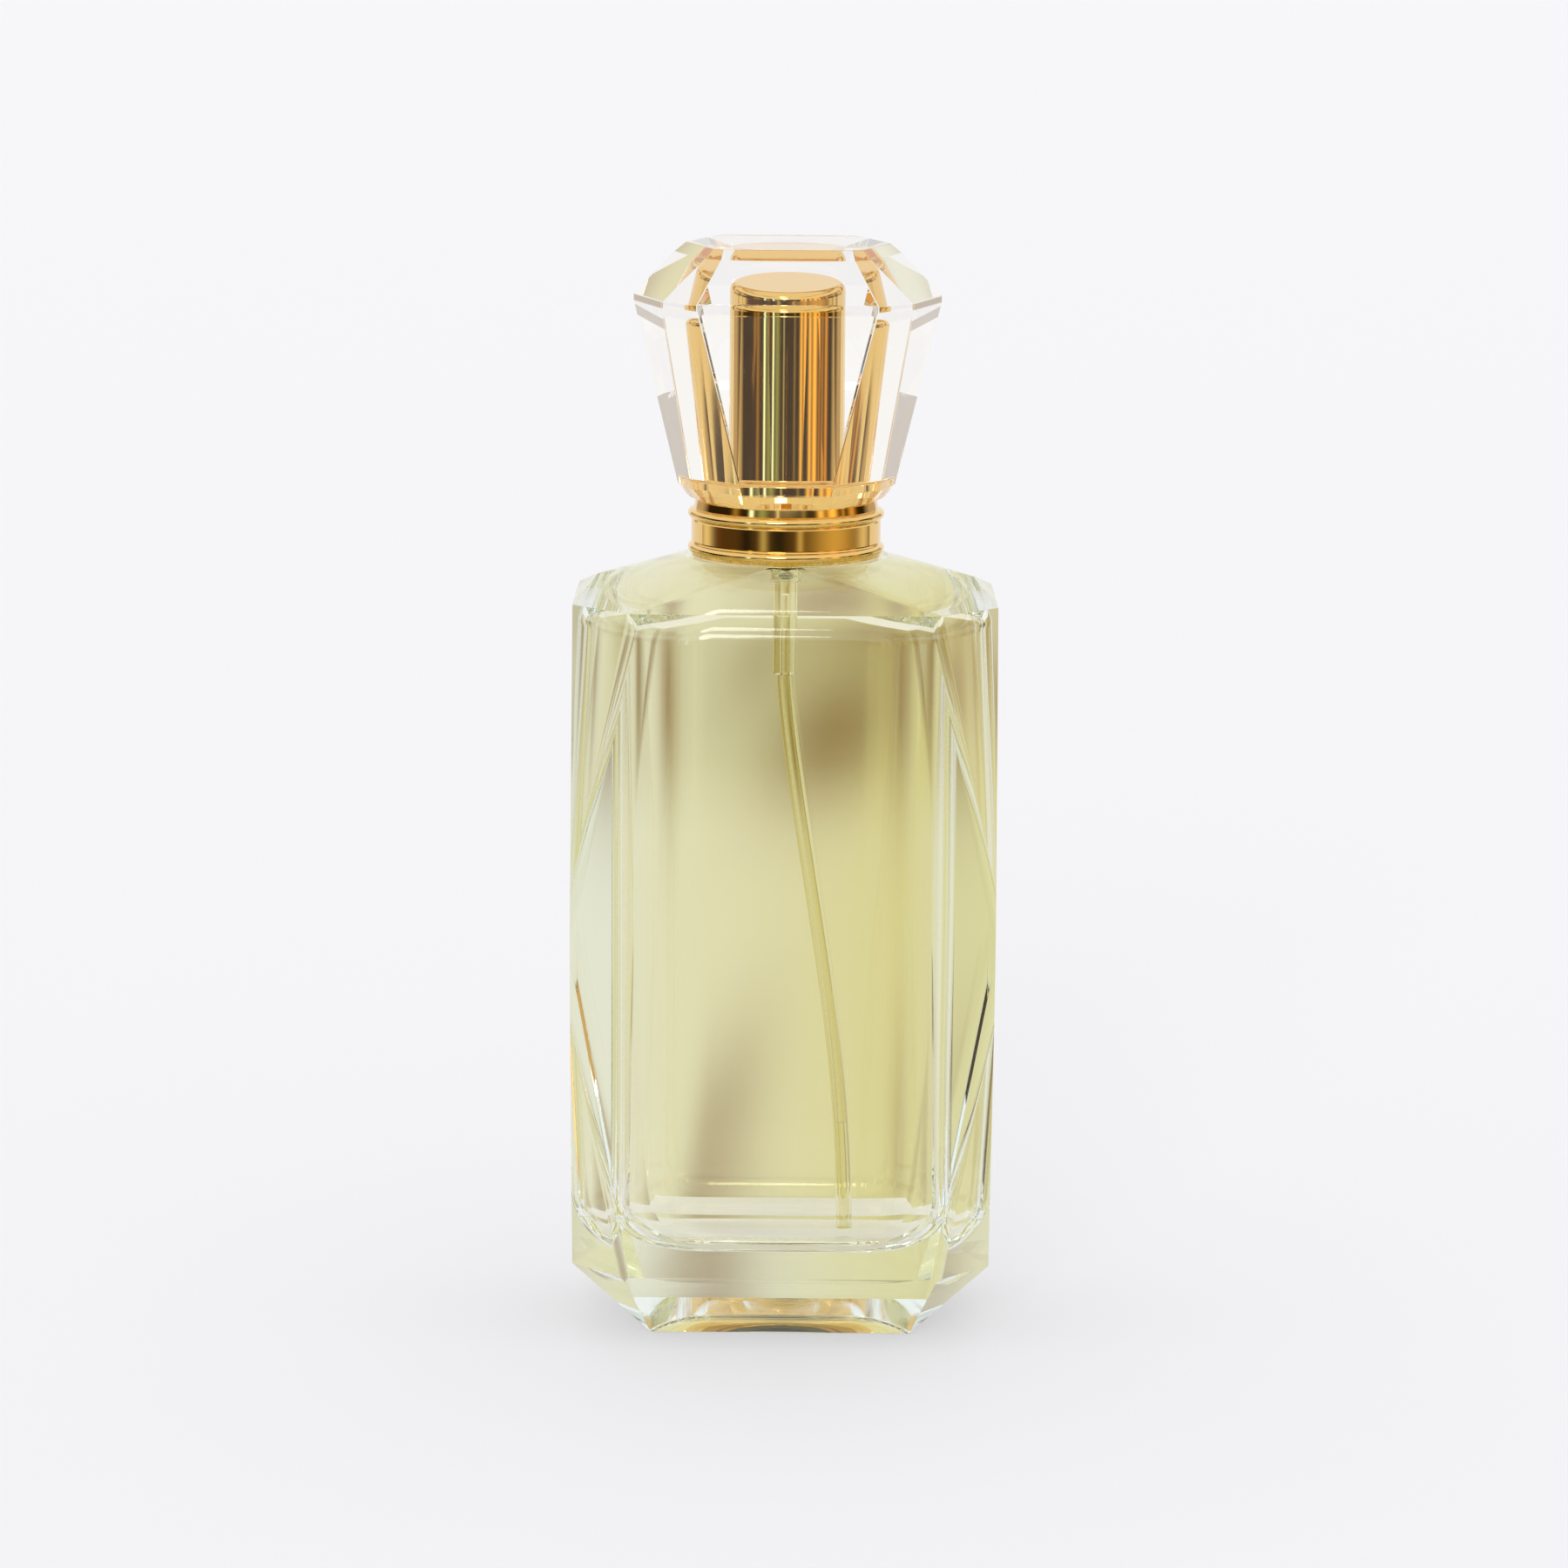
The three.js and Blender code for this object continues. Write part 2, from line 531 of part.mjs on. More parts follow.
const beadSize = 0.55;
const bandRadius = collarRadius - COLLAR_GROOVE;
addPiece('collar', turned([
  [ferruleOuter + CLEARANCE, collarBottom], [collarRadius - 0.3, collarBottom],
  ...arc(collarRadius - beadSize, collarBottom + 0.85, beadSize, -60, 60),
  [bandRadius, collarBottom + 1.5], [bandRadius, collarTop - 2.1],
  ...arc(collarRadius - beadSize, collarTop - 1.45, beadSize, -60, 60),
  [collarRadius - 0.5, collarTop - 0.8], [collarRadius - 0.75, collarTop],
  [ferruleOuter + CLEARANCE, collarTop],
]), gold);

// ---- Actuator -----------------------------------------------------------------------------

const coreTop = actuatorTop - ACTUATOR_SHELL_WALL - CLEARANCE;
const stemSocketTop = stemTop + CLEARANCE;

// A turned pocket along -Y, open to the front, from a depth behind the face to outside it.
function frontPocket(radius, from, sides) {
  const length = from + actuatorRadius + 1;
  return toSolid(new THREE.CylinderGeometry(radius, radius, length, sides)
    .translate(0, from - length / 2, nozzleHeight));
}
const nozzleBack = NOZZLE_DEPTH - coreRadius;

function actuatorCore() {
  const outside = disc(coreRadius, actuatorBottom, coreTop);
  const skirt = disc(skirtInner, actuatorBottom - 1, guideTop + STROKE + PRESSED_ROOM);
  const stemSocket = disc(STEM_RADIUS + CLEARANCE, actuatorBottom, stemSocketTop, SMALL_ROUND);
  const riser = disc(STEM_BORE_RADIUS, actuatorBottom, nozzleHeight, SMALL_ROUND);
  return outside.subtract(skirt).subtract(stemSocket).subtract(riser)
    .subtract(frontPocket(STEM_BORE_RADIUS, 0, 12))
    .subtract(frontPocket(NOZZLE_RADIUS + CLEARANCE, nozzleBack, SMALL_ROUND));
}
addPiece('actuator_core', actuatorCore(), whitePlastic);

function actuatorShell() {
  const edge = 0.7;
  const outside = turned([
    [0, actuatorBottom], [actuatorRadius, actuatorBottom], [actuatorRadius, actuatorTop - edge],
    ...arc(actuatorRadius - edge, actuatorTop - edge, edge, 0, 90), [0, actuatorTop],
  ]);
  const inside = disc(coreRadius + CLEARANCE, actuatorBottom - 1, coreTop + CLEARANCE);
  return outside.subtract(inside).subtract(frontPocket(NOZZLE_RADIUS + CLEARANCE, nozzleBack, SMALL_ROUND));
}
addPiece('actuator_shell', actuatorShell(), gold);

function sprayInsert() {
  const front = -coreRadius - 0.1;
  const back = nozzleBack - CLEARANCE;
  const length = back - front;
  const body = new THREE.CylinderGeometry(NOZZLE_RADIUS, NOZZLE_RADIUS, length, SMALL_ROUND)
    .translate(0, (back + front) / 2, nozzleHeight);
  return toSolid(body).subtract(frontPocket(ORIFICE_RADIUS, 0, 12))
    .subtract(frontPocket(NOZZLE_RADIUS / 2, front + 0.35, 12));
}
addPiece('spray_insert', sprayInsert(), whitePlastic);

// ---- Cap ----------------------------------------------------------------------------------

function capGem() {
  const levels = CAP_RISES.map((rise) => capBottom + rise);
  const planes = [level(capBottom, -1), level(levels[4], 1)];
  for (const { azimuths, distances } of CAP_FACETS) {
    const radii = distances.map((distance) => skirtRadius + distance);
    const girdle = radii[2] - GIRDLE_TRIM;
    for (const azimuth of azimuths) {
      for (let i = 1; i < levels.length; i += 1) {
        planes.push(facet(azimuth, radii[i - 1], levels[i - 1], radii[i], levels[i]));
      }
      planes.push(facet(azimuth, girdle, levels[0], girdle, levels[4]));
    }
  }
  return polytope(planes);
}

// The sleeve's outside, grown or shrunk by an offset, as one stepped and rounded solid.
function sleeveShape(offset, bottom) {
  const radius = sleeveRadius + offset;
  const edge = SLEEVE_EDGE + offset;
  const top = sleeveTop + offset;
  return turned([
    [0, bottom], [skirtRadius + offset, bottom], [skirtRadius + offset, skirtTop + offset],
    [radius, skirtTop + offset], [radius, top - edge],
    ...arc(radius - edge, top - edge, edge, 0, 90), [0, top],
  ]);
}

const linerOuter = -SLEEVE_WALL - CLEARANCE;
const linerBoreRadius = actuatorRadius + 0.35;
const linerSkirtRadius = ferruleOuter + RIB_HEIGHT + 0.1;
const linerRoof = sleeveTop + linerOuter - 0.6;
const linerSkirtRoof = ferruleTop + 0.3;

addPiece('cap_crystal', capGem().subtract(sleeveShape(CLEARANCE, capBottom - 1)), clearAcrylic);
addPiece('cap_sleeve',
  sleeveShape(0, capBottom).subtract(sleeveShape(-SLEEVE_WALL, capBottom - 1)), gold);

// Liner: snaps over the ferrule on ribs, and stands clear of the actuator.
function capLiner() {
  let liner = sleeveShape(linerOuter, capBottom)
    .subtract(disc(linerBoreRadius, capBottom - 1, linerRoof))
    .subtract(disc(linerSkirtRadius, capBottom - 1, linerSkirtRoof));
  for (let i = 0; i < LINER_RIBS; i += 1) {
    const rib = new THREE.BoxGeometry(RIB_HEIGHT + 0.4, RIB_WIDTH, linerSkirtRoof - capBottom)
      .translate(linerSkirtRadius - RIB_HEIGHT / 2 + 0.2, 0, (linerSkirtRoof + capBottom) / 2)
      .rotateZ(2 * Math.PI * i / LINER_RIBS);
    liner = liner.add(toSolid(rib));
  }
  return liner;
}
addPiece('cap_liner', capLiner(), whitePlastic);

// ---- Perfume ------------------------------------------------------------------------------

function perfume() {
  const above = disc(BODY_WIDTH, fillHeight, fillHeight + 10);
  const housingRoom = disc(BULB_RADIUS + CUT_GAP, socketBottom - CUT_GAP, fillHeight + 1, SMALL_ROUND);
  const tubeRoom = rod(tubeCurve(), TUBE_RADIUS + CUT_GAP, 12, tubeSteps);
  const tipRoom = disc(TUBE_RADIUS + CUT_GAP, -CUT_GAP, 1, 12).translate([TUBE_REACH, 0, tubeTip]);
  return cavity(CLEARANCE).subtract(above).subtract(housingRoom).subtract(tubeRoom).subtract(tipRoom);
}
addPiece('perfume', perfume(), yellowPerfume);

export default bottle;
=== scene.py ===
"""Looks of a faceted glass perfume bottle, built round its CAD frame. Metres, +Z up, front towards -Y."""

import math

import bmesh
import bpy
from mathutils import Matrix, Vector


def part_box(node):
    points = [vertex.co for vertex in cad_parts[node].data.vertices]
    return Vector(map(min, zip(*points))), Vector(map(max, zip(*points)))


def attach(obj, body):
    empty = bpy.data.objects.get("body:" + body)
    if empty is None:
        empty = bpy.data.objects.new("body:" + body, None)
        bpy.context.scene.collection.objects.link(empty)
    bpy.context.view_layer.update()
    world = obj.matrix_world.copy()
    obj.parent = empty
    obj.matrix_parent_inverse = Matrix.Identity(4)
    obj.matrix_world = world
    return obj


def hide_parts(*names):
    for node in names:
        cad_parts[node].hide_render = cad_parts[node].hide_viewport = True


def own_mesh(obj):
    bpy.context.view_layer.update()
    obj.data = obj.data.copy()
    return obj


MM = 0.001

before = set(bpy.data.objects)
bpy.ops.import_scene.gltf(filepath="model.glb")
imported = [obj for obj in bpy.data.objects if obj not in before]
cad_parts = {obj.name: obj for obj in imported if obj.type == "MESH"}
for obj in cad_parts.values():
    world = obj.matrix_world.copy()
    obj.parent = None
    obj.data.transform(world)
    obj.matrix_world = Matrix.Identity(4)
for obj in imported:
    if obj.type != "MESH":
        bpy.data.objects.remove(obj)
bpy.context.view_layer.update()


# ---- Sizes taken from the frame -----------------------------------------------------------

glass_low, glass_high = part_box("glass_bottle")
perfume_low, perfume_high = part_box("perfume")
tube_low, tube_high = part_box("dip_tube")
housing_low, housing_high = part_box("pump_housing")
collar_low, collar_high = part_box("collar")
ferrule_low, ferrule_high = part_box("crimp_ferrule")
shell_low, shell_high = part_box("actuator_shell")
gem_low, gem_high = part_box("cap_crystal")
sleeve_low, sleeve_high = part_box("cap_sleeve")
liner_low, liner_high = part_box("cap_liner")
spring_low, spring_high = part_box("return_spring")

LAND = collar_low.z - 0.05 * MM        # flat seat round the neck
NECK_TOP = glass_high.z
CAVITY_GAP = 0.05 * MM                 # between the CAD perfume and the glass
OPTICAL_LAP = 0.02 * MM                # how far a filling reaches into its clear wall, so light bends once
CAVITY_CORNER = 10.0 * MM              # radius of the cavity's upright corners
CAVITY_CLOSING = 5.7 * MM              # height over which the cavity closes to the neck
FLOOR_ROUNDING = 5.0 * MM
FILL_DROP = 0.2 * MM                   # of the perfume's level below the cavity's top
SOFT_EDGE = 2.6 * MM                   # rounding of the upright edges between the broad faces and the corners
FIRM_EDGE = 1.1 * MM                   # rounding of the flacon's other edges
NECK_BORE = 4.8 * MM
SLEEVE_RADIUS = 5.8 * MM
SLEEVE_EDGE = 0.8 * MM
SKIRT_TOP = sleeve_low.z + 2.6 * MM
TUBE_RADIUS = 0.83 * MM
TUBE_BORE = 0.42 * MM
SOCKET_BOTTOM = housing_low.z
MENISCUS = 20.4 * MM                   # top of the perfume inside the dip tube
SPRING_WIRE = 0.2 * MM
SPRING_TURNS = 3
SLEEVE_WALL = 0.35 * MM
LINER_GAP = 0.05 * MM                  # between the liner and the sleeve
LINER_RIBS = 8
RIB_WIDTH = 0.8 * MM
RIB_HEIGHT = 0.25 * MM

# ---- Materials ----------------------------------------------------------------------------


def new_material(name):
    material = bpy.data.materials.new(name)
    material.use_nodes = True
    return material, material.node_tree, material.node_tree.nodes["Principled BSDF"]


def noise(tree, scale, detail=3.0, stretch=(1, 1, 1)):
    """Object-space noise, its scale in features per metre, and stretched along the axes."""
    place = tree.nodes.new("ShaderNodeTexCoord")
    mapping = tree.nodes.new("ShaderNodeMapping")
    mapping.inputs["Scale"].default_value = stretch
    texture = tree.nodes.new("ShaderNodeTexNoise")
    texture.inputs["Scale"].default_value = scale
    texture.inputs["Detail"].default_value = detail
    tree.links.new(place.outputs["Object"], mapping.inputs["Vector"])
    tree.links.new(mapping.outputs["Vector"], texture.inputs["Vector"])
    return texture.outputs["Fac"]


def spread(tree, value, low, high):
    """A 0-1 value spread over another range."""
    node = tree.nodes.new("ShaderNodeMapRange")
    node.inputs["To Min"].default_value = low
    node.inputs["To Max"].default_value = high
    tree.links.new(value, node.inputs["Value"])
    return node.outputs["Result"]


def bumped(tree, shader, value, height):
    node = tree.nodes.new("ShaderNodeBump")
    node.inputs["Distance"].default_value = height
    node.inputs["Strength"].default_value = 1.0
    tree.links.new(value, node.inputs["Height"])
    tree.links.new(node.outputs["Normal"], shader.inputs["Normal"])


def clear_material(name, ior, tint, absorb=None, density=0.0, waves=0.0, wave_scale=60.0):
    """A clear polished material. absorb tints it through its depth, and waves are its slow ripples."""
    material, tree, shader = new_material(name)
    shader.inputs["Base Color"].default_value = (*tint, 1)
    shader.inputs["Transmission Weight"].default_value = 1.0
    shader.inputs["IOR"].default_value = ior
    shader.inputs["Roughness"].default_value = 0.0
    if waves:
        bumped(tree, shader, noise(tree, wave_scale, 1.0, (1, 1, 0.45)), waves)
    if absorb:
        volume = tree.nodes.new("ShaderNodeVolumeAbsorption")
        volume.inputs["Color"].default_value = (*absorb, 1)
        volume.inputs["Density"].default_value = density
        tree.links.new(volume.outputs["Volume"], tree.nodes["Material Output"].inputs["Volume"])
    return material


def gold_material():
    material, tree, shader = new_material("gold_anodised")
    shader.inputs["Base Color"].default_value = (0.86, 0.57, 0.19, 1)
    shader.inputs["Metallic"].default_value = 1.0
    tree.links.new(spread(tree, noise(tree, 900, 4.0, (1, 1, 0.15)), 0.035, 0.08), shader.inputs["Roughness"])
    bumped(tree, shader, noise(tree, 400, 2.0, (1, 1, 0.3)), 0.000004)
    return material


def plastic_material(name, color, roughness):
    material, tree, shader = new_material(name)
    shader.inputs["Base Color"].default_value = (*color, 1)
    shader.inputs["Specular IOR Level"].default_value = 0.45
    worn = spread(tree, noise(tree, 1500), roughness - 0.06, roughness + 0.08)
    tree.links.new(worn, shader.inputs["Roughness"])
    bumped(tree, shader, noise(tree, 2600), 0.000008)
    return material


def steel_material():
    material, tree, shader = new_material("stainless_steel")
    shader.inputs["Base Color"].default_value = (0.66, 0.67, 0.68, 1)
    shader.inputs["Metallic"].default_value = 1.0
    tree.links.new(spread(tree, noise(tree, 2400), 0.16, 0.3), shader.inputs["Roughness"])
    return material


def rubber_material():
    material, tree, shader = new_material("seal_rubber")
    shader.inputs["Base Color"].default_value = (0.03, 0.03, 0.033, 1)
    tree.links.new(spread(tree, noise(tree, 1800), 0.55, 0.8), shader.inputs["Roughness"])
    bumped(tree, shader, noise(tree, 3000), 0.00001)
    return material


GLASS = clear_material("flint_glass", 1.52, (1.0, 1.0, 0.995), (0.80, 0.93, 0.86), 6.0, 0.00006)
ACRYLIC = clear_material("clear_acrylic", 1.49, (1.0, 0.995, 0.985), (0.97, 0.93, 0.86), 8.0, 0.00001, 90)
LIQUID = clear_material("pale_perfume", 1.36, (1.0, 1.0, 1.0), (0.92, 0.86, 0.38), 26.0)
TUBE_PLASTIC = clear_material("clear_plastic_in_liquid", 1.14, (0.94, 0.92, 0.76))
GOLD = gold_material()
WHITE_PLASTIC = plastic_material("white_plastic", (0.84, 0.84, 0.81), 0.38)
STEEL = steel_material()
RUBBER = rubber_material()

# ---- Building helpers ---------------------------------------------------------------------


def link(name, mesh):
    piece = bpy.data.objects.new(name, mesh)
    bpy.context.scene.collection.objects.link(piece)
    return piece


def from_bmesh(name, bm, material=None):
    bmesh.ops.recalc_face_normals(bm, faces=bm.faces[:])
    mesh = bpy.data.meshes.new(name)
    bm.to_mesh(mesh)
    bm.free()
    piece = link(name, mesh)
    if material:
        mesh.materials.append(material)
    return piece


def plain(piece):
    """Bakes a piece's modifiers into its mesh."""
    evaluated = piece.evaluated_get(bpy.context.evaluated_depsgraph_get())
    baked = bpy.data.meshes.new_from_object(evaluated)
    piece.modifiers.clear()
    old, piece.data = piece.data, baked
    baked.name = piece.name
    bpy.data.meshes.remove(old)
    return piece


def smoothed(piece, degrees=24):
    """Smooth shading, with edges sharper than the angle kept and flat faces kept flat."""
    mesh = piece.data
    bm = bmesh.new()
    bm.from_mesh(mesh)
    for edge in bm.edges:
        if len(edge.link_faces) == 2:
            edge.smooth = edge.calc_face_angle(0.0) < math.radians(degrees)
    for face in bm.faces:
        face.smooth = True
    bm.to_mesh(mesh)
    bm.free()
    weighted = piece.modifiers.new("weighted", "WEIGHTED_NORMAL")
    weighted.mode = "FACE_AREA"
    weighted.weight = 100
    weighted.keep_sharp = True
    return plain(piece)


def boolean(piece, cutter, operation="DIFFERENCE"):
    modifier = piece.modifiers.new("cut", "BOOLEAN")
    modifier.operation = operation
    modifier.solver = "EXACT"
    modifier.object = cutter
    plain(piece)
    bpy.data.objects.remove(cutter)
    return piece


def lathe(name, outline, sides=128, material=None):
    """A solid turned about Z from (radius, height) pairs that start and end on the axis, or form a loop."""
    bm = bmesh.new()
    closed = outline[0][0] > 1e-9
    rings = []
    for radius, height in outline:
        if radius < 1e-9:
            rings.append([bm.verts.new((0, 0, height))])
        else:
            angles = [2 * math.pi * i / sides for i in range(sides)]
            rings.append([bm.verts.new((radius * math.cos(a), radius * math.sin(a), height)) for a in angles])
    pairs = list(zip(rings, rings[1:])) + ([(rings[-1], rings[0])] if closed else [])
    for a, b in pairs:
        for i in range(sides):
            j = (i + 1) % sides
            if len(a) == 1:
                bm.faces.new((a[0], b[j], b[i]))
            elif len(b) == 1:
                bm.faces.new((a[i], a[j], b[0]))
            else:
                bm.faces.new((a[i], a[j], b[j], b[i]))
    return from_bmesh(name, bm, material)


def arc(radius, height, size, start, end, steps=8):
    """Points of a circular arc in a (radius, height) outline, angles in degrees."""
    points = []
    for i in range(steps + 1):
        angle = math.radians(start + (end - start) * i / steps)
        points.append((radius + size * math.cos(angle), height + size * math.sin(angle)))
    return points


def hull_of(node, highest):
    """The convex polyhedron round a CAD node's corners up to a height, its flat faces whole."""
    bm = bmesh.new()
    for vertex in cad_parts[node].data.vertices:
        if vertex.co.z < highest:
            bm.verts.new(vertex.co)
    bmesh.ops.remove_doubles(bm, verts=bm.verts[:], dist=0.01 * MM)
    bmesh.ops.convex_hull(bm, input=bm.verts[:])
    bmesh.ops.delete(bm, geom=[v for v in bm.verts if not v.link_faces], context="VERTS")
    bmesh.ops.dissolve_limit(bm, angle_limit=math.radians(1.0), verts=bm.verts[:], edges=bm.edges[:])
    return bm


def rounded_edges(bm, offset, segments, least=6.0, chosen=lambda edge: True):
    """Rounds every chosen edge sharper than an angle in degrees."""
    sharp = [e for e in bm.edges
             if len(e.link_faces) == 2 and e.calc_face_angle(0.0) > math.radians(least) and chosen(e)]
    bmesh.ops.bevel(bm, geom=sharp, offset=offset, segments=segments, profile=0.5,
                    affect="EDGES", clamp_overlap=True)
    bmesh.ops.remove_doubles(bm, verts=bm.verts[:], dist=0.002 * MM)


def rounded_rectangle(half_width, half_depth, corner, height, steps=14):
    points = []
    for quarter in range(4):
        x = (1 if quarter in (0, 3) else -1) * (half_width - corner)
        y = (1 if quarter < 2 else -1) * (half_depth - corner)
        for i in range(steps + 1):
            angle = math.radians(90 * (quarter + i / steps))
            points.append(Vector((x + corner * math.cos(angle), y + corner * math.sin(angle), height)))
    return points


def lofted(name, rings, material=None):
    """A closed solid through rings of points, from the bottom to the top."""
    bm = bmesh.new()
    rows = [[bm.verts.new(p) for p in ring] for ring in rings]
    count = len(rows[0])
    for a, b in zip(rows, rows[1:]):
        for i in range(count):
            j = (i + 1) % count
            bm.faces.new((a[i], a[j], b[j], b[i]))
    bm.faces.new(list(reversed(rows[0])))
    bm.faces.new(rows[-1])
    bmesh.ops.remove_doubles(bm, verts=bm.verts[:], dist=0.002 * MM)
    return from_bmesh(name, bm, material)


# ---- Geometry trees -----------------------------------------------------------------------


def new_tree(name, sizes):
    """A geometry tree with its sizes as named inputs, given as pairs of a name and a socket kind."""
    tree = bpy.data.node_groups.new(name, "GeometryNodeTree")
    tree.interface.new_socket("Geometry", in_out="INPUT", socket_type="NodeSocketGeometry")
    for label, kind in sizes:
        tree.interface.new_socket(label, in_out="INPUT", socket_type="NodeSocket" + kind)
    tree.interface.new_socket("Geometry", in_out="OUTPUT", socket_type="NodeSocketGeometry")
    return tree, tree.nodes.new("NodeGroupInput").outputs


def grow(tree, kind, values=None, **settings):
    """Adds a geometry node, its inputs linked to sockets or set to plain values."""
    node = tree.nodes.new(kind)
    for key, value in settings.items():
        setattr(node, key, value)
    for key, value in (values or {}).items():
        if isinstance(value, bpy.types.NodeSocket):
            tree.links.new(value, node.inputs[key])
        else:
            node.inputs[key].default_value = value
    return node


def close_tree(tree, geometry, material):
    """Ends a tree in Realize Instances and Set Material."""
    whole = grow(tree, "GeometryNodeRealizeInstances", {"Geometry": geometry})
    painted = grow(tree, "GeometryNodeSetMaterial", {
        "Geometry": whole.outputs["Geometry"], "Material": material})
    output = tree.nodes.new("NodeGroupOutput")
    tree.links.new(painted.outputs["Geometry"], output.inputs["Geometry"])


def grown_piece(piece, tree, values):
    """Runs a tree on a piece with the given sizes, bakes it, closes open ends and turns its faces outward."""
    modifier = piece.modifiers.new("rule", "NODES")
    modifier.node_group = tree
    for item in tree.interface.items_tree:
        if item.in_out == "INPUT" and item.name in values:
            modifier[item.identifier] = values[item.name]
    plain(piece)
    bm = bmesh.new()
    bm.from_mesh(piece.data)
    rims = [edge for edge in bm.edges if edge.is_boundary]
    if rims:
        middle = sum(edge.verts[0].co.z for edge in rims) / len(rims)
        bmesh.ops.bridge_loops(bm, edges=[edge for edge in rims if edge.verts[0].co.z < middle])
        bmesh.ops.bridge_loops(bm, edges=[edge for edge in rims if edge.verts[0].co.z >= middle])
    bmesh.ops.recalc_face_normals(bm, faces=bm.faces[:])
    bm.to_mesh(piece.data)
    bm.free()
    return smoothed(piece)


def polyline(name, points):
    mesh = bpy.data.meshes.new(name)
    mesh.from_pydata(points, [(i, i + 1) for i in range(len(points) - 1)], [])
    return link(name, mesh)


def circle_profile(tree, radius, sides):
    circle = grow(tree, "GeometryNodeCurvePrimitiveCircle", {"Resolution": sides, "Radius": radius})
    return circle.outputs["Curve"]


def coil_tree():
    """A wire wound into a coil about Z."""
    tree, given = new_tree("wound_coil", (
        ("Coil Radius", "Float"), ("Wire Radius", "Float"), ("Turns", "Float"), ("Base", "Float"),
        ("Length", "Float")))
    spiral = grow(tree, "GeometryNodeCurveSpiral", {
        "Resolution": 64, "Rotations": given["Turns"], "Start Radius": given["Coil Radius"],
        "End Radius": given["Coil Radius"], "Height": given["Length"]})
    lift = grow(tree, "ShaderNodeCombineXYZ", {"Z": given["Base"]})
    raised = grow(tree, "GeometryNodeTransform", {"Geometry": spiral.outputs["Curve"],
                                                  "Translation": lift.outputs["Vector"]})
    wire = grow(tree, "GeometryNodeCurveToMesh", {
        "Curve": raised.outputs["Geometry"], "Profile Curve": circle_profile(tree, given["Wire Radius"], 14),
        "Fill Caps": True})
    close_tree(tree, wire.outputs["Mesh"], STEEL)
    return tree


def ribbed_tree():
    """Adds upright ribs inside a ring, evenly round Z."""
    tree, given = new_tree("ribbed_ring", (
        ("Ribs", "Int"), ("Ring Radius", "Float"), ("Rib Depth", "Float"), ("Rib Width", "Float"),
        ("Rib Length", "Float"), ("Middle", "Float")))
    size = grow(tree, "ShaderNodeCombineXYZ", {"X": given["Rib Depth"], "Y": given["Rib Width"],
                                               "Z": given["Rib Length"]})
    rib = grow(tree, "GeometryNodeMeshCube", {"Size": size.outputs["Vector"]})
    where = grow(tree, "ShaderNodeCombineXYZ", {"X": given["Ring Radius"], "Z": given["Middle"]})
    placed = grow(tree, "GeometryNodeTransform", {"Geometry": rib.outputs["Mesh"],
                                                  "Translation": where.outputs["Vector"]})
    points = grow(tree, "GeometryNodeMeshLine", {"Count": given["Ribs"], "Offset": (0, 0, 0)})
    turns = grow(tree, "ShaderNodeMath", operation="DIVIDE")
    tree.links.new(tree.nodes.new("GeometryNodeInputIndex").outputs["Index"], turns.inputs[0])
    tree.links.new(given["Ribs"], turns.inputs[1])
    angle = grow(tree, "ShaderNodeMath", {1: 2 * math.pi}, operation="MULTIPLY")
    tree.links.new(turns.outputs["Value"], angle.inputs[0])
    about_z = grow(tree, "ShaderNodeCombineXYZ", {"Z": angle.outputs["Value"]})
    ribs = grow(tree, "GeometryNodeInstanceOnPoints", {
        "Points": points.outputs["Mesh"], "Instance": placed.outputs["Geometry"],
        "Rotation": about_z.outputs["Vector"]})
    both = tree.nodes.new("GeometryNodeJoinGeometry")
    tree.links.new(ribs.outputs["Instances"], both.inputs["Geometry"])
    tree.links.new(given["Geometry"], both.inputs["Geometry"])
    close_tree(tree, both.outputs["Geometry"], WHITE_PLASTIC)
    return tree


def extrusion_tree():
    """A tube drawn along a line of points."""
    tree, given = new_tree("drawn_tube", (("Outer Radius", "Float"), ("Bore Radius", "Float")))
    path = grow(tree, "GeometryNodeMeshToCurve", {"Mesh": given["Geometry"]})
    both = tree.nodes.new("GeometryNodeJoinGeometry")
    for label in ("Outer Radius", "Bore Radius"):
        wall = grow(tree, "GeometryNodeCurveToMesh", {
            "Curve": path.outputs["Curve"], "Profile Curve": circle_profile(tree, given[label], 32)})
        tree.links.new(wall.outputs["Mesh"], both.inputs["Geometry"])
    close_tree(tree, both.outputs["Geometry"], TUBE_PLASTIC)
    return tree


# ---- Flacon -------------------------------------------------------------------------------


def cavity(name, grown):
    """The flacon's inside, grown by an offset."""
    width = perfume_high.x + CAVITY_GAP + grown
    depth = perfume_high.y + CAVITY_GAP + grown
    floor = perfume_low.z - CAVITY_GAP - grown
    shoulder = perfume_high.z + FILL_DROP - CAVITY_CLOSING
    rings = []
    for radius, height in arc(0, 0, FLOOR_ROUNDING, -90, 0, 14):
        inset = FLOOR_ROUNDING - radius
        rings.append(rounded_rectangle(width - inset, depth - inset, CAVITY_CORNER + grown - inset,
                                       floor + FLOOR_ROUNDING + height))
    neck = NECK_BORE + 0.05 * MM + grown
    for i in range(17):
        share = i / 16
        blend = 1 - math.sqrt(max(0.0, 1 - share ** 2))
        ring_width = width + (neck - width) * blend
        ring_depth = depth + (neck - depth) * blend
        corner = min(CAVITY_CORNER + grown, ring_depth * 0.9999)
        rings.append(rounded_rectangle(ring_width, ring_depth, corner,
                                       shoulder + grown * (1 - share) + CAVITY_CLOSING * share))
    return lofted(name, rings)


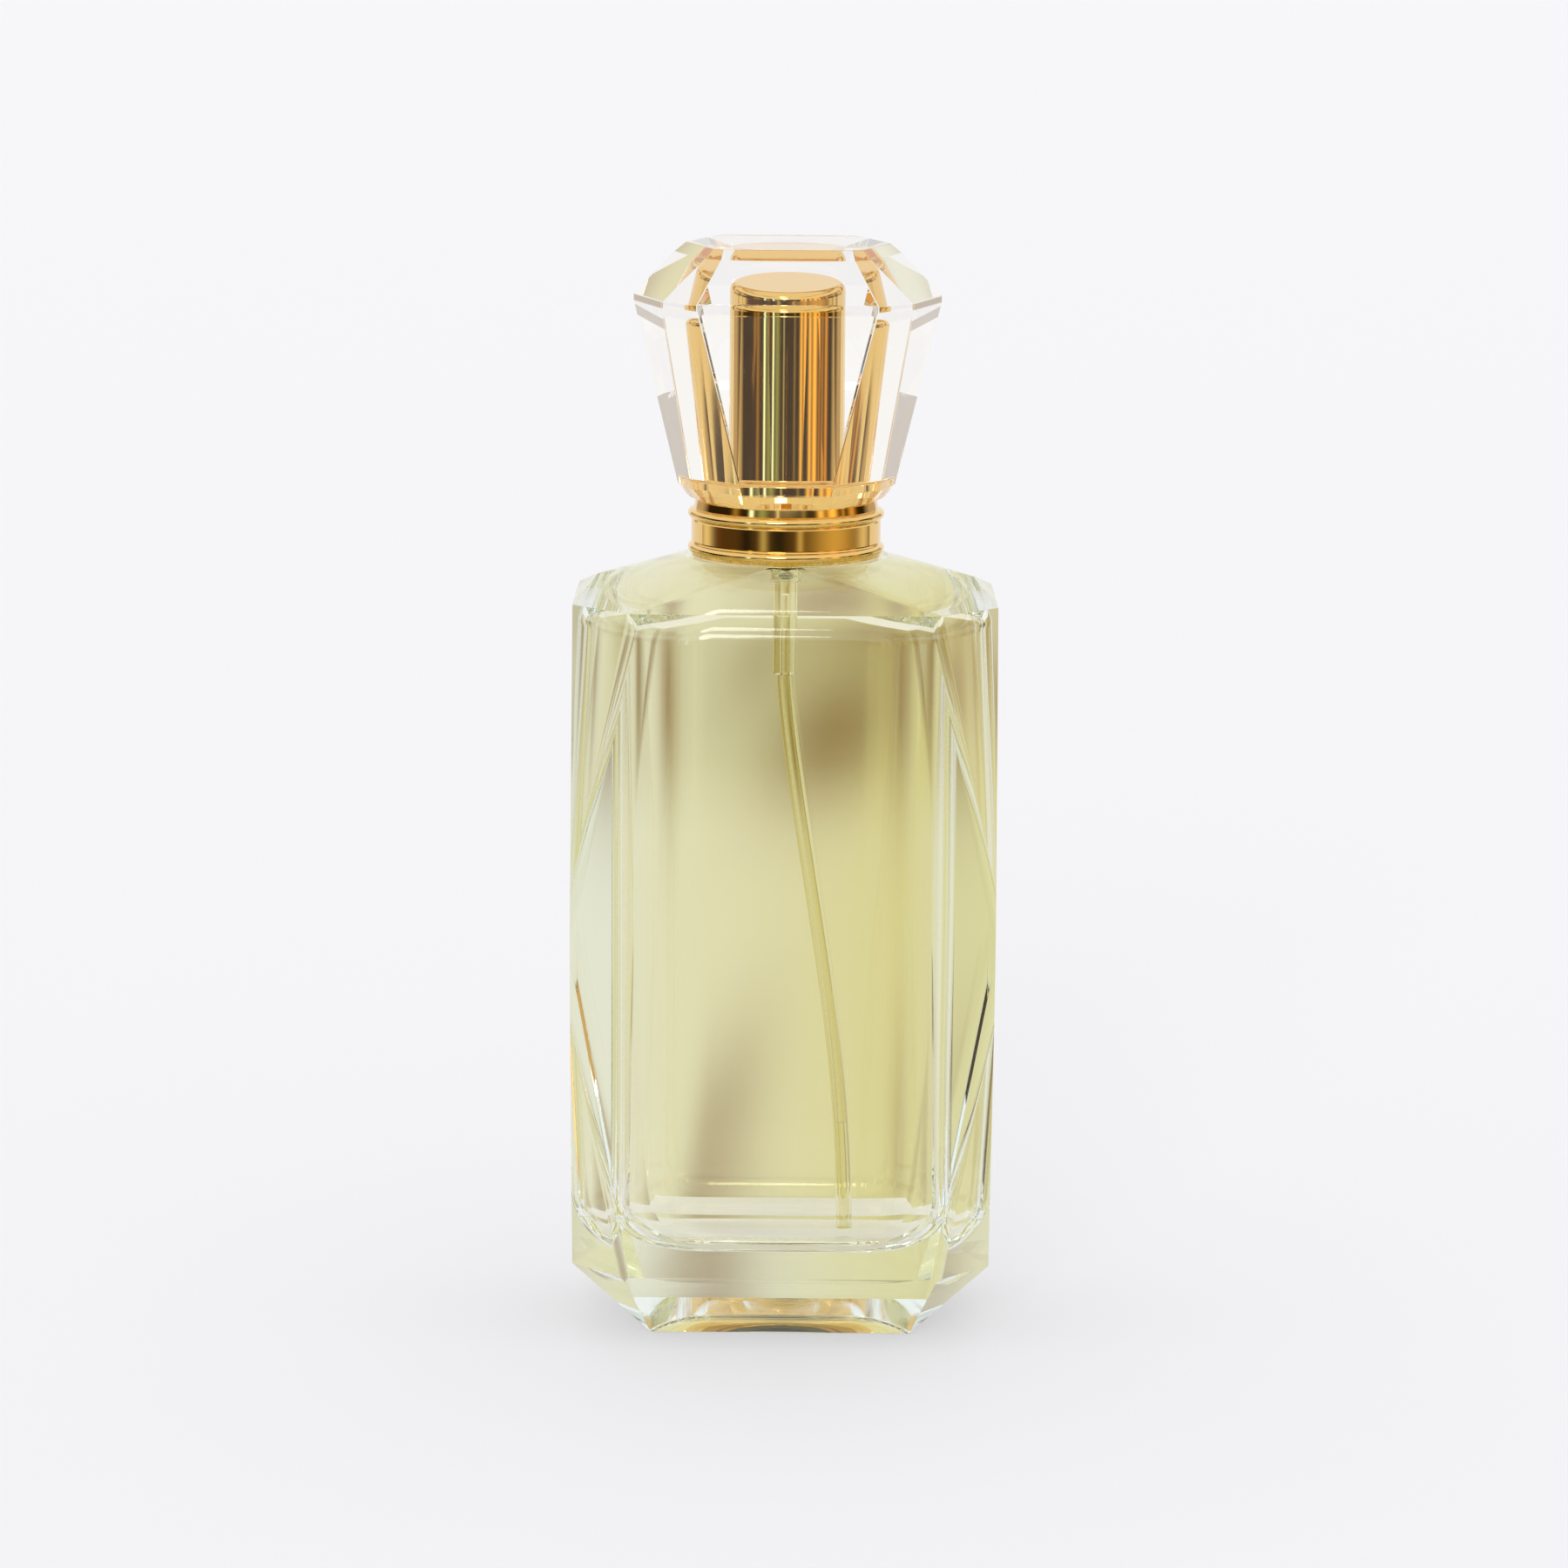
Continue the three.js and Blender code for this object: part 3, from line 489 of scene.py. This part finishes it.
def push_up():
    """The shallow dish under the foot."""
    bm = bmesh.new()
    bmesh.ops.create_uvsphere(bm, u_segments=64, v_segments=32, radius=1.0)
    for vertex in bm.verts:
        vertex.co = Vector((vertex.co.x * 10.4 * MM, vertex.co.y * 5.75 * MM, vertex.co.z * 0.8 * MM))
    return from_bmesh("dish", bm)


def glass_flacon():
    bm = hull_of("glass_bottle", LAND + 0.02 * MM)
    outer_faces = 0.9 * glass_high.y
    def upright(edge):
        low, high = sorted((v.co for v in edge.verts), key=lambda point: point.z)
        return high.z - low.z > 12 * MM and abs(high.y) > outer_faces and abs(low.y) > outer_faces
    rounded_edges(bm, SOFT_EDGE, 9, 1.0, upright)
    rounded_edges(bm, FIRM_EDGE, 4, 9.0, lambda edge: not upright(edge))
    flacon = from_bmesh("glass_flacon", bm, GLASS)
    neck = lathe("neck", [(0, LAND - 3 * MM), (6.5 * MM, LAND - 3 * MM), (6.5 * MM, NECK_TOP - 2.5 * MM),
                          *arc(6.95 * MM, NECK_TOP - 2.1 * MM, 0.4 * MM, -90, 0, 5),
                          *arc(6.75 * MM, NECK_TOP - 0.6 * MM, 0.6 * MM, 0, 90, 6), (0, NECK_TOP)])
    boolean(flacon, neck, "UNION")
    boolean(flacon, cavity("hollow", 0.0))
    bore = lathe("bore", [(0, perfume_high.z - 1 * MM), (NECK_BORE, perfume_high.z - 1 * MM),
                          (NECK_BORE, NECK_TOP + 1 * MM), (0, NECK_TOP + 1 * MM)])
    boolean(flacon, bore)
    boolean(flacon, push_up())
    return smoothed(flacon)


def tube_path(steps=60):
    """The dip tube's centre line, from its tip up into its socket."""
    reach = tube_high.x - TUBE_RADIUS
    tip = tube_low.z
    fall = SOCKET_BOTTOM - tip
    points = []
    for i in range(steps + 1):
        share = 1 - i / steps
        sideways = reach * math.sin(share * math.pi / 2) ** 1.35
        points.append(Vector((sideways, 0, SOCKET_BOTTOM - fall * share)))
    return points


def swept_rings(path, radius, sides):
    """Rings of points square to a path that lies in the XZ plane."""
    rings = []
    for i, point in enumerate(path):
        along = (path[min(i + 1, len(path) - 1)] - path[max(i - 1, 0)]).normalized()
        across = Vector((0, 1, 0)).cross(along).normalized()
        rings.append([point + radius * (math.cos(2 * math.pi * k / sides) * across
                                        + math.sin(2 * math.pi * k / sides) * Vector((0, 1, 0)))
                      for k in range(sides)])
    return rings


def perfume_filling():
    filling = cavity("perfume_filling", OPTICAL_LAP)
    filling.data.materials.append(LIQUID)
    level = perfume_high.z
    wide, tall = 30 * MM, 20 * MM
    above = lathe("above", [(0, level), (wide, level), (wide, level + tall), (0, level + tall)], 32)
    boolean(filling, above)
    inside = [p for p in tube_path() if p.z > MENISCUS] + [Vector((0, 0, tube_high.z))]
    inside = [inside[0] + (inside[0] - inside[1]) * 0.001] + inside
    core = lofted("core", swept_rings(inside, TUBE_BORE, 24))
    boolean(filling, core)
    return smoothed(filling)


def dip_tube():
    return grown_piece(polyline("dip_tube_extrusion", tube_path()), extrusion_tree(),
                       {"Outer Radius": TUBE_RADIUS * 0.99, "Bore Radius": TUBE_BORE + 0.02 * MM})


def pump_body():
    """The pump's housing: tube socket, ball chamber, cylinder, flange and turret."""
    floor = NECK_TOP - 6.0 * MM
    seat = floor - 3.4 * MM
    flange = ferrule_high.z - 1.1 * MM
    top = housing_high.z
    outline = [(0, seat + 0.3 * MM), (0.44 * MM, seat - 0.1 * MM), (0.44 * MM, SOCKET_BOTTOM + OPTICAL_LAP),
               (1.1 * MM, SOCKET_BOTTOM), (1.22 * MM, SOCKET_BOTTOM + 0.15 * MM),
               (1.22 * MM, seat - 1.3 * MM)]
    outline += arc(1.1 * MM, seat - 0.2 * MM, 0.45 * MM, -80, 0, 6)
    outline += arc(1.1 * MM, seat + 1.9 * MM, 0.48 * MM, 0, 70, 6)
    outline += [(1.3 * MM, floor - 0.8 * MM), (3.2 * MM, floor - 0.5 * MM), (3.28 * MM, floor - 0.3 * MM),
                (3.28 * MM, flange - 0.7 * MM), (6.5 * MM, flange - 0.7 * MM), (6.58 * MM, flange - 0.6 * MM),
                (6.58 * MM, flange - 0.1 * MM), (6.5 * MM, flange), (3.28 * MM, flange),
                (3.28 * MM, top - 0.15 * MM), (3.15 * MM, top), (2.52 * MM, top), (2.52 * MM, floor),
                (0.46 * MM, floor),
                (0.46 * MM, seat + 2.6 * MM), (1.02 * MM, seat + 2.1 * MM), (1.02 * MM, seat + 0.6 * MM),
                (0, seat + 0.5 * MM)]
    return smoothed(lathe("pump_body", outline, 64, TUBE_PLASTIC), 40)


def coil_spring():
    wire = SPRING_WIRE
    base = spring_low.z + wire
    return grown_piece(polyline("coil_spring", []), coil_tree(), {
        "Coil Radius": spring_high.x - wire, "Wire Radius": wire, "Turns": float(SPRING_TURNS), "Base": base,
        "Length": spring_high.z - wire - base})


# ---- Collar and ferrule -------------------------------------------------------------------


def collar_ring():
    outer = collar_high.x
    inner = ferrule_high.x + 0.05 * MM
    low, high = collar_low.z, collar_high.z
    bead = 0.5 * MM
    band = outer - 0.35 * MM
    outline = [(inner, low), (outer - 0.4 * MM, low)]
    outline += arc(outer - bead, low + 0.75 * MM, bead, -70, 75, 12)
    outline += [(band - 0.08 * MM, low + 1.35 * MM), (band, low + 1.5 * MM), (band, high - 2.15 * MM),
                (band - 0.08 * MM, high - 2.0 * MM)]
    outline += arc(outer - bead, high - 1.45 * MM, bead, -75, 70, 12)
    outline += [(outer - 0.62 * MM, high - 0.85 * MM), (outer - 0.75 * MM, high - 0.1 * MM),
                (outer - 0.85 * MM, high), (inner, high)]
    return smoothed(lathe("collar_ring", outline, 160, GOLD))


def ferrule_cup():
    outer = ferrule_high.x
    wall = 0.35 * MM
    mouth, stem_hole = 6.65 * MM, 3.55 * MM
    low, high = ferrule_low.z, ferrule_high.z
    outline = [(mouth, low), *arc(outer - 0.3 * MM, low + 0.3 * MM, 0.3 * MM, -90, 0, 5),
               *arc(outer - wall, high - wall, wall, 0, 90, 6), (stem_hole, high), (stem_hole, high - wall),
               (outer - wall, high - wall), (outer - wall, low + wall), (mouth, low + wall)]
    return smoothed(lathe("ferrule_cup", outline, 128, GOLD))


# ---- Actuator -----------------------------------------------------------------------------


def actuator_button():
    """The gold shell with its nozzle hole."""
    outer = shell_high.x
    low, high = shell_low.z, shell_high.z
    wall = 0.3 * MM
    outline = [(0, high - wall), (outer - wall, high - wall), (outer - wall, low)]
    outline += [(outer - 0.08 * MM, low), (outer, low + 0.08 * MM)]
    outline += arc(outer - 0.7 * MM, high - 0.7 * MM, 0.7 * MM, 0, 90, 10)
    outline += [(0, high)]
    shell = lathe("actuator_button", outline, 128, GOLD)
    bm = bmesh.new()
    bmesh.ops.create_cone(bm, cap_ends=True, segments=48, radius1=1.56 * MM, radius2=1.56 * MM, depth=6 * MM)
    for vertex in bm.verts:
        x, y, z = vertex.co
        vertex.co = Vector((x, z - outer, y + low + 4.8 * MM))
    boolean(shell, from_bmesh("nozzle_hole", bm))
    return smoothed(shell)


# ---- Cap ----------------------------------------------------------------------------------


def sleeve_outline(grown, bottom):
    """The sleeve's outside from the axis at the bottom to the axis at the top."""
    radius = SLEEVE_RADIUS + grown
    foot = sleeve_high.x + grown
    top = sleeve_high.z + grown
    edge = SLEEVE_EDGE + grown
    step = SKIRT_TOP + grown
    points = [(0, bottom), (foot, bottom), *arc(foot - 0.35 * MM, step - 0.35 * MM, 0.35 * MM, 0, 90, 6)]
    points += [(radius + 0.3 * MM, step), *arc(radius + 0.3 * MM, step + 0.3 * MM, 0.3 * MM, -90, -180, 6)]
    points += arc(radius - edge, top - edge, edge, 0, 90, 14)
    return points + [(0, top)]


def cap_gem():
    bm = hull_of("cap_crystal", gem_high.z + 1 * MM)
    rounded_edges(bm, 0.2 * MM, 2)
    gem = from_bmesh("cap_gem", bm, ACRYLIC)
    boolean(gem, lathe("hollow", sleeve_outline(0.0, gem_low.z - 1 * MM), 160))
    return smoothed(gem)


def cap_insert():
    """The gold sleeve, in optical contact with the gem."""
    outside = sleeve_outline(OPTICAL_LAP, sleeve_low.z + 0.01 * MM)
    sleeve = lathe("cap_insert", outside, 160, GOLD)
    inside = sleeve_outline(-SLEEVE_WALL, sleeve_low.z - 1 * MM)
    boolean(sleeve, lathe("hollow", inside, 160))
    return smoothed(sleeve)


def ribbed_liner():
    """The plastic liner inside the sleeve, which grips the ferrule on its ribs."""
    bore = shell_high.x + 0.35 * MM
    grip = ferrule_high.x + RIB_HEIGHT + 0.1 * MM
    grip_roof = ferrule_high.z + 0.3 * MM
    roof = liner_high.z - 0.6 * MM
    outside = sleeve_outline(-SLEEVE_WALL - LINER_GAP, liner_low.z)[1:]
    ring = lathe("ribbed_liner", [(0, roof), (bore, roof), (bore, grip_roof), (grip, grip_roof),
                                  (grip, liner_low.z), *outside], 128)
    depth = RIB_HEIGHT + 0.3 * MM
    return grown_piece(ring, ribbed_tree(), {
        "Ribs": LINER_RIBS, "Ring Radius": grip - RIB_HEIGHT + depth / 2, "Rib Depth": depth,
        "Rib Width": RIB_WIDTH, "Rib Length": grip_roof - liner_low.z,
        "Middle": (grip_roof + liner_low.z) / 2})


# ---- Stage --------------------------------------------------------------------------------


def emission(name, color, strength):
    material = bpy.data.materials.new(name)
    material.use_nodes = True
    tree = material.node_tree
    tree.nodes.remove(tree.nodes["Principled BSDF"])
    shader = tree.nodes.new("ShaderNodeEmission")
    shader.inputs["Color"].default_value = (*color, 1)
    shader.inputs["Strength"].default_value = strength
    tree.links.new(shader.outputs["Emission"], tree.nodes["Material Output"].inputs["Surface"])
    return material


def toned(name, rows, tone, strength, shown_in=("glossy", "transmission")):
    """A glowing sheet through rows of points, which only the object's reflections and refractions show.
    Its colour at each point is tone(x, y, z)."""
    bm = bmesh.new()
    grid = [[bm.verts.new(p) for p in row] for row in rows]
    for a, b in zip(grid, grid[1:]):
        for i in range(len(a) - 1):
            bm.faces.new((a[i], a[i + 1], b[i + 1], b[i]))
    mesh = bpy.data.meshes.new(name)
    bm.to_mesh(mesh)
    bm.free()
    colors = mesh.attributes.new("tone", "FLOAT_COLOR", "POINT")
    for vertex, entry in zip(mesh.vertices, colors.data):
        entry.color = (*tone(*vertex.co), 1)
    piece = link(name, mesh)
    material = emission(name, (1, 1, 1), strength)
    tree = material.node_tree
    reader = tree.nodes.new("ShaderNodeAttribute")
    reader.attribute_name = "tone"
    tree.links.new(reader.outputs["Color"], tree.nodes["Emission"].inputs["Color"])
    mesh.materials.append(material)
    piece.visible_camera = False
    piece.visible_shadow = False
    piece.visible_diffuse = False
    piece.visible_glossy = "glossy" in shown_in
    piece.visible_transmission = "transmission" in shown_in
    return piece


def blend_color(color, other, share):
    return tuple(a + (b - a) * share for a, b in zip(color, other))


def hump(value, centre, width):
    return math.exp(-((value - centre) / width) ** 2)


# Painted light and refraction seen through the perfume: the pale side, the yellow side and the brown blots
# glow on a card and are not the perfume's own colour.
BACK_PALE = (0.80, 0.80, 0.64)
BACK_YELLOW = (0.72, 0.68, 0.33)
BACK_BROWN = (0.30, 0.19, 0.08)
PAINTED_DARK_REFRACTIONS = (                       # across, up, half width, half height, lean, depth
    (5.5, 55.5, 8.0, 9.5, 0.35, 0.8), (12.0, 71.0, 9.0, 7.0, 0.4, 0.6), (-7.5, 11.0, 5.0, 13.0, 0.30, 0.6),
    (-19.0, 60.0, 3.0, 13.0, 0.0, 0.85), (19.0, 62.0, 4.0, 15.0, 0.0, 0.8), (-9.0, 2.0, 6.0, 7.0, 0.3, 0.5),
    (-3.0, 64.0, 4.0, 6.0, 0.3, 0.35), (20.0, 10.0, 3.0, 16.0, 0.0, 0.4),
)


def backing_tone(x, y, z):
    """What shows through the perfume, painted on a glowing card: pale on one side, yellow on the other, with
    soft brown blots of painted dark refraction.
    """
    across, up = x / MM, z / MM
    color = blend_color(BACK_PALE, BACK_YELLOW, 1 / (1 + math.exp(-(across - 2) / 5)))
    for centre, height, width, rise, lean, depth in PAINTED_DARK_REFRACTIONS:
        shifted = across - centre - lean * (up - height)
        share = depth * hump(shifted, 0, width) * hump(up, height, rise)
        color = blend_color(color, BACK_BROWN, min(1, share))
    return color


def backing():
    """A glowing toned card close behind the flacon, seen only through the glass: painted light and refraction
    in the perfume.
    """
    rows = [[Vector((-60 + 1.5 * i, 40, 0.5 + 2 * j)) * MM for i in range(81)] for j in range(38)]
    return toned("backing", rows, backing_tone, 1.0, ("transmission",))


# Painted reflections: the screen glows, lights nothing and shows only in the gold and the glass; its dark
# room and bright strips paint the gold's dark and bright streaks.
SURROUND_DARK = (0.030, 0.020, 0.008)
SIDES_FROM, SIDES_FADE = 112, 16      # degrees of azimuth
SURROUND_SIDES = (0.56, 0.50, 0.43)    # behind the bottle's sides
SURROUND_STRIPS = (                  # azimuth, half width in degrees, colour
    (-44, 3, (1.5, 2.2, 2.8)), (-30, 7, (0.30, 0.42, 0.26)), (-10, 2, (0.5, 0.55, 0.5)),
    (-66, 5, (0.34, 0.22, 0.07)), (22, 3, (0.22, 0.2, 0.1)), (44, 5, (1.2, 0.85, 0.34)),
    (60, 7, (1.6, 0.98, 0.30)), (76, 3, (0.5, 0.3, 0.08)), (90, 6, (0.8, 0.45, 0.12)),
)
# Painted reflections: the table top is a glowing sheet; its pale near part, dark reach and patches paint the
# collar's highlights and dark marks.
TABLE_NEAR = (0.78, 0.76, 0.70)      # the pale table round the foot
TABLE_NEAR_REACH = 0.3               # metres from the bottle
TABLE_TONE = (0.09, 0.055, 0.02)     # the dark reach of it that the collar mirrors
TABLE_PAINTED_REFLECTIONS = (                    # azimuth, half width in degrees, colour, share
    (62, 30, (0.85, 0.62, 0.24), 0.8), (-48, 9, (0.02, 0.015, 0.01), 0.95),
    (-8, 10, (0.02, 0.02, 0.015), 0.9), (-27, 5, (0.7, 0.66, 0.4), 0.7), (-88, 6, (0.12, 0.05, 0.02), 0.9),
    (-112, 12, (1.0, 0.95, 0.8), 0.9), (108, 12, (1.0, 0.92, 0.75), 0.8), (17, 4, (0.9, 0.75, 0.4), 0.6),
)


def surround_tone(x, y, z):
    """A dark room with upright bright strips, and the table before the bottle, as the gold mirrors them."""
    azimuth = math.degrees(math.atan2(x, -y))
    if z < 1.5 * MM:
        color = TABLE_TONE
        for centre, width, patch, share in TABLE_PAINTED_REFLECTIONS:
            color = blend_color(color, patch, share * hump(azimuth, centre, width))
        return TABLE_NEAR if math.hypot(x, y) < TABLE_NEAR_REACH else color
    sides = min(1, max(0, (abs(azimuth) - SIDES_FROM) / SIDES_FADE))
    color = blend_color(SURROUND_DARK, SURROUND_SIDES, sides)
    for centre, width, strip in SURROUND_STRIPS:
        share = hump(azimuth, centre, width)
        color = tuple(a + b * share for a, b in zip(color, strip))
    return color


def surround():
    """A round glowing screen on the camera's side of the bottle, and a glowing table top before it, both
    painted reflections that only the object's reflections and refractions show.
    """
    def around(radius, height, reach):
        steps = [math.radians(reach * (i / 240 - 1)) for i in range(481)]
        return [Vector((radius * math.sin(a), -radius * math.cos(a), height)) for a in steps]
    table_rows = [around(radius, 1 * MM, 122) for radius in (0.06, 0.28, 0.34, 0.5, 0.79)]
    toned("table_top", table_rows, surround_tone, 1.0)
    wall_rows = [around(0.8, height * MM, 150) for height in (2, 100, 260)]
    toned("surround", wall_rows, surround_tone, 1.0)


def foot_light():
    """What a pale table sends back up through the foot."""
    under = glass_low.z / MM - 0.1
    rows = [[Vector((-16 + 2 * i, -11 + 2 * j, under)) * MM for i in range(17)] for j in range(12)]
    return toned("foot_light", rows, lambda x, y, z: (0.66, 0.63, 0.50), 1.0, ("transmission",))


def floor():
    bm = bmesh.new()
    bmesh.ops.create_grid(bm, x_segments=1, y_segments=1, size=20.0)
    piece = from_bmesh("floor", bm)
    material, _, shader = new_material("pale_floor")
    shader.inputs["Base Color"].default_value = (0.42, 0.42, 0.43, 1)
    shader.inputs["Emission Color"].default_value = (0.47, 0.47, 0.48, 1)
    shader.inputs["Emission Strength"].default_value = 1.0
    shader.inputs["Roughness"].default_value = 0.9
    shader.inputs["Specular IOR Level"].default_value = 0.1
    piece.data.materials.append(material)
    for vertex in piece.data.vertices:
        vertex.co.z = -0.2 * MM


def studio():
    world = bpy.data.worlds.new("studio")
    world.use_nodes = True
    background = world.node_tree.nodes["Background"]
    background.inputs["Color"].default_value = (1.0, 1.0, 1.0, 1)
    background.inputs["Strength"].default_value = 0.97
    bpy.context.scene.world = world
    floor()
    surround()
    backing()
    foot_light()
    data = bpy.data.lights.new("key", "SUN")
    data.energy = 0.6
    data.angle = math.radians(22)
    key = bpy.data.objects.new("key", data)
    bpy.context.scene.collection.objects.link(key)
    key.rotation_euler = Vector((0.2, 1.0, -0.45)).to_track_quat("-Z", "Y").to_euler()


def camera():
    tilt = math.radians(10.6)
    distance = 0.513
    aim = 56.2 * MM
    data = bpy.data.cameras.new("camera")
    data.sensor_width = 36
    data.lens = 114
    viewer = bpy.data.objects.new("camera", data)
    bpy.context.scene.collection.objects.link(viewer)
    viewer.location = (0, -distance * math.cos(tilt), aim + distance * math.sin(tilt))
    viewer.rotation_euler = (math.radians(90) - tilt, 0, 0)
    viewer.rotation_euler.rotate_axis("Z", math.radians(0.45))
    bpy.context.scene.camera = viewer
    bpy.context.scene.view_settings.view_transform = "Standard"
    bpy.context.scene.cycles.max_bounces = 28
    bpy.context.scene.cycles.transmission_bounces = 28
    bpy.context.scene.cycles.glossy_bounces = 28


# ---- Assembly -----------------------------------------------------------------------------


def place(piece, body, slot, *nodes):
    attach(piece, body)
    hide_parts(*nodes)


WHITE_NODES = ("neck_gasket", "stem_guide", "piston", "pump_stem", "actuator_core", "spray_insert")


def finish_cad_nodes():
    """Better finishes for the CAD nodes that show as they are."""
    for names, material in ((("stem_seal",), RUBBER),
                            (WHITE_NODES, WHITE_PLASTIC),
                            (("inlet_ball",), STEEL)):
        for name in names:
            for material_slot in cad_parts[name].material_slots:
                material_slot.material = material


finish_cad_nodes()
place(glass_flacon(), "flacon", "glass", "glass_bottle")
place(perfume_filling(), "flacon", "perfume", "perfume")
place(dip_tube(), "flacon", "clear_plastic", "dip_tube")
place(pump_body(), "flacon", "clear_plastic", "pump_housing")
place(collar_ring(), "flacon", "gold", "collar")
place(ferrule_cup(), "flacon", "gold", "crimp_ferrule")
place(actuator_button(), "actuator", "gold", "actuator_shell")
place(cap_gem(), "cap", "crystal", "cap_crystal")
place(cap_insert(), "cap", "gold", "cap_sleeve")
place(ribbed_liner(), "cap", "white_plastic", "cap_liner")
spring = coil_spring()
place(spring, "flacon", "steel", "return_spring")
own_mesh(spring)
studio()
camera()
